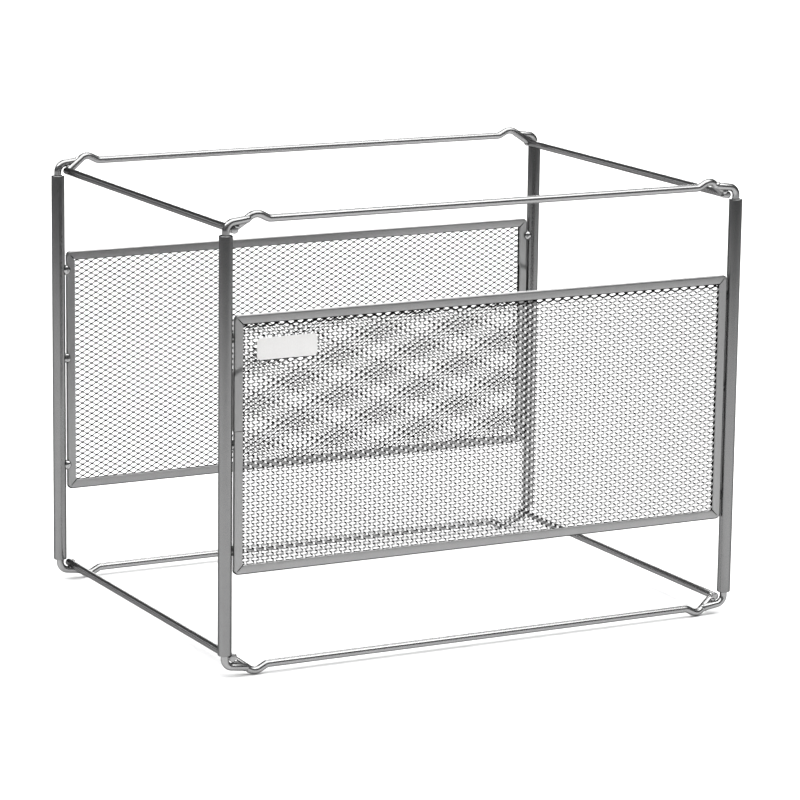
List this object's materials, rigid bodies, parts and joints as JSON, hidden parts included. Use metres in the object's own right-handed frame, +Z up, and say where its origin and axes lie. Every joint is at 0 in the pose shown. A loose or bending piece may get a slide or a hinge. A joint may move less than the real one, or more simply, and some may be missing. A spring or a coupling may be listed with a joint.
{
  "type": "desktop hanging file frame",
  "caption": "Open wire and tube frame with mesh side panels: hanging folders hook over its two upper side rails, and its top ring and panels lift off.",
  "frame": {"origin": "under the middle of the frame, level with the lowest point of its wire feet", "axes": "+Z up, +X along the long rails to the right, -Y the front with the label plate"},
  "size_m": [0.3256, 0.2376, 0.2546],
  "materials": {
    "wire": "satin silver-grey paint on steel wire",
    "tube": "satin silver-grey paint on steel tube",
    "panel_frame": "satin silver-grey paint on folded steel strip",
    "mesh": "satin silver-grey paint on expanded steel",
    "weld": "satin silver-grey paint over a weld bead",
    "label_plate": "satin off-white paint, blank"
  },
  "bodies": {
    "bottom_ring": {"bottom_front_rail": "wire", "bottom_back_rail": "wire", "bottom_left_side_rail": "wire", "bottom_right_side_rail": "wire", "bottom_front_left_prong": "wire", "bottom_front_right_prong": "wire", "bottom_back_left_prong": "wire", "bottom_back_right_prong": "wire"},
    "front_panel": {"front_left_post": "tube", "front_right_post": "tube", "front_panel_frame": "panel_frame", "front_mesh": "mesh", "front_left_welds": "weld", "front_right_welds": "weld", "label_plate": "label_plate"},
    "back_panel": {"back_left_post": "tube", "back_right_post": "tube", "back_panel_frame": "panel_frame", "back_mesh": "mesh", "back_left_welds": "weld", "back_right_welds": "weld"},
    "top_ring": {"top_front_rail": "wire", "top_back_rail": "wire", "top_left_file_rail": "wire", "top_right_file_rail": "wire", "top_front_left_prong": "wire", "top_front_right_prong": "wire", "top_back_left_prong": "wire", "top_back_right_prong": "wire"}
  },
  "joints": [
    {"name": "front_panel_lift", "type": "slide", "parent": "bottom_ring", "child": "front_panel", "axis": [0, 0, 1], "range_m": [0, 0.035]},
    {"name": "back_panel_lift", "type": "slide", "parent": "bottom_ring", "child": "back_panel", "axis": [0, 0, 1], "range_m": [0, 0.035]},
    {"name": "top_ring_lift", "type": "slide", "parent": "front_panel", "child": "top_ring", "axis": [0, 0, 1], "range_m": [0, 0.035]}
  ],
  "couplings": [
    {"joint": "back_panel_lift", "follows": "front_panel_lift", "ratio": 1}
  ]
}
